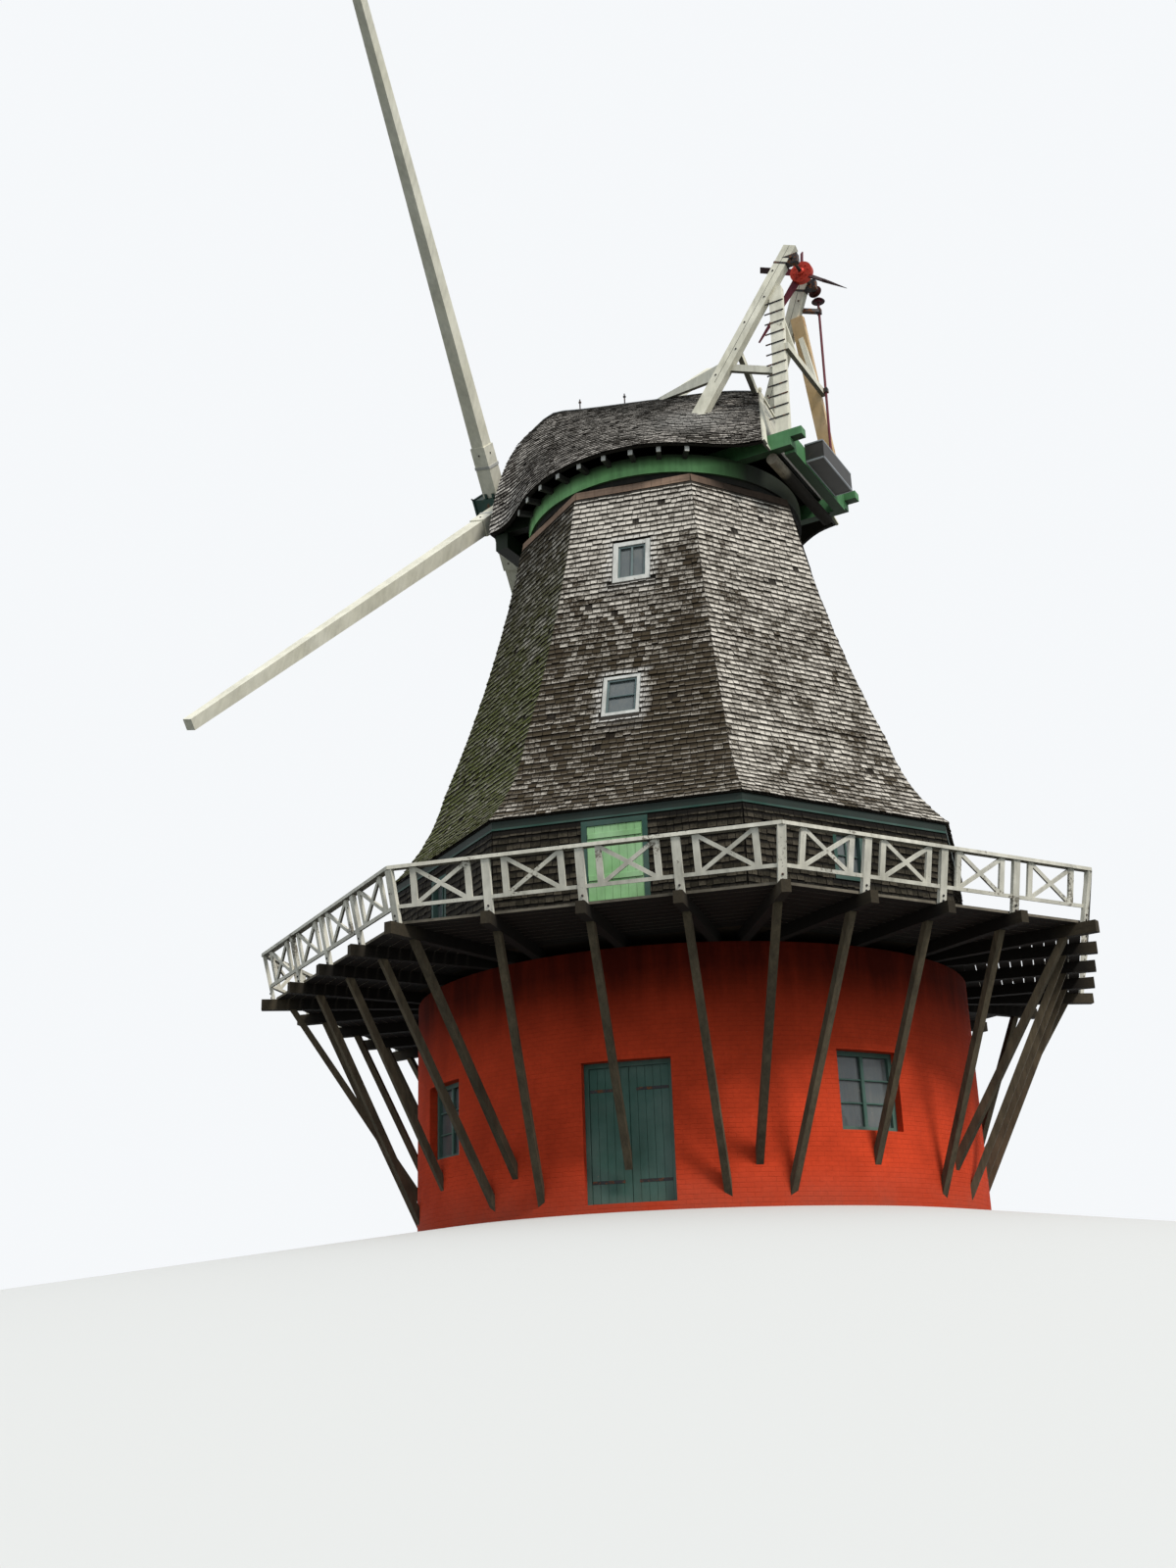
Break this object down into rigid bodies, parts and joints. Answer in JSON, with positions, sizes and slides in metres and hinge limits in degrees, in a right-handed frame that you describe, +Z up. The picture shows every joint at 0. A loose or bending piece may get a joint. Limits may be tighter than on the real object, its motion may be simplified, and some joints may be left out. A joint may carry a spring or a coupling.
{
  "type": "traditional windmill",
  "caption": "Smock windmill with a round masonry base, railed octagonal stage, shingled tower, turning cap, bare sail stocks and the remains of a fantail.",
  "frame": {"origin": "on the mill's vertical axis at ground level, on the underside of the ground floor slab", "axes": "+Z up; -Y is the side with the two smock windows and the door on to the stage; +X is to the right seen from there"},
  "size_m": [15.362, 17.0403, 24.9366],
  "materials": {
    "masonry": "limewashed",
    "slab": "rough",
    "teal_paint": "painted",
    "leaf_paint": "painted",
    "deck_timber": "weathered",
    "beam_timber": "weathered",
    "cream_paint": "painted",
    "smock_shingles": "weathered shingles",
    "cap_shingles": "weathered shingles",
    "frame_white": "painted",
    "floor_timber": "sawn",
    "glass": "clear",
    "green_paint": "painted",
    "dark_boards": "painted",
    "worn_timber": "bare",
    "iron": "rusty",
    "dark_green_iron": "painted",
    "red_paint": "painted",
    "red_iron": "painted",
    "grey_sheet": "dull"
  },
  "bodies": {
    "tower": {"base_door_leaves": "leaf_paint", "base_frames": "teal_paint", "base_wall_diagonals": "masonry", "base_wall_sides": "masonry", "curb": "beam_timber", "fascia": "teal_paint", "floors": "floor_timber", "ground_floor": "slab", "rail_corner_posts": "cream_paint", "rail_diagonals": "cream_paint", "rail_sides": "cream_paint", "smock_back": "smock_shingles", "smock_back_left": "smock_shingles", "smock_back_right": "smock_shingles", "smock_front": "smock_shingles", "smock_front_left": "smock_shingles", "smock_front_right": "smock_shingles", "smock_left": "smock_shingles", "smock_right": "smock_shingles", "smock_window_frames": "frame_white", "stage_beams": "beam_timber", "stage_deck": "deck_timber", "stage_door_leaves": "leaf_paint", "stage_edge_boards": "frame_white", "stage_frames": "teal_paint", "stage_struts": "beam_timber", "stage_wall_diagonals": "smock_shingles", "stage_wall_sides": "smock_shingles", "window_panes": "glass"},
    "sails": {"windshaft": "dark_green_iron", "poll_end": "dark_green_iron", "outer_stock": "cream_paint", "inner_stock": "cream_paint"},
    "fan": {"fan_axle": "iron", "fan_hub": "red_iron", "fan_blades": "red_paint"},
    "rod": {"drive_rod": "iron"},
    "cap": {"cap_ring": "green_paint", "roof_shell": "cap_shingles", "breast": "dark_boards", "rear_gable": "cream_paint", "rafter_ends": "frame_white", "cap_sheers": "green_paint", "end_beams": "green_paint", "shaft_beams": "beam_timber", "shaft_bearings": "iron", "tail_roller": "cream_paint", "tail_box": "grey_sheet", "main_struts": "cream_paint", "ladder_post": "cream_paint", "ladder_rungs": "iron", "far_post": "worn_timber", "post_tie": "cream_paint", "trestle_braces": "cream_paint", "fan_bearings": "iron", "rod_brackets": "iron"}
  },
  "joints": [
    {"name": "cap_turn", "type": "hinge", "parent": "tower", "child": "cap", "pos_m": [0, 0, 14.5], "axis": [0, 0, 1], "continuous": true},
    {"name": "sails_spin", "type": "hinge", "parent": "cap", "child": "sails", "pos_m": [0, 0, 15.78], "axis": [-0.9507, 0.23, 0.2079], "continuous": true},
    {"name": "fan_spin", "type": "hinge", "parent": "cap", "child": "fan", "pos_m": [3.56224, -0.8618, 20.0703], "axis": [-0.2351, -0.972, 0], "continuous": true},
    {"name": "rod_spin", "type": "hinge", "parent": "cap", "child": "rod", "pos_m": [3.78209, 0.04699, 20.0703], "axis": [-0.0097, 0.013, -0.9999], "continuous": true}
  ],
  "couplings": [
    {"joint": "rod_spin", "follows": "fan_spin", "ratio": -1}
  ]
}
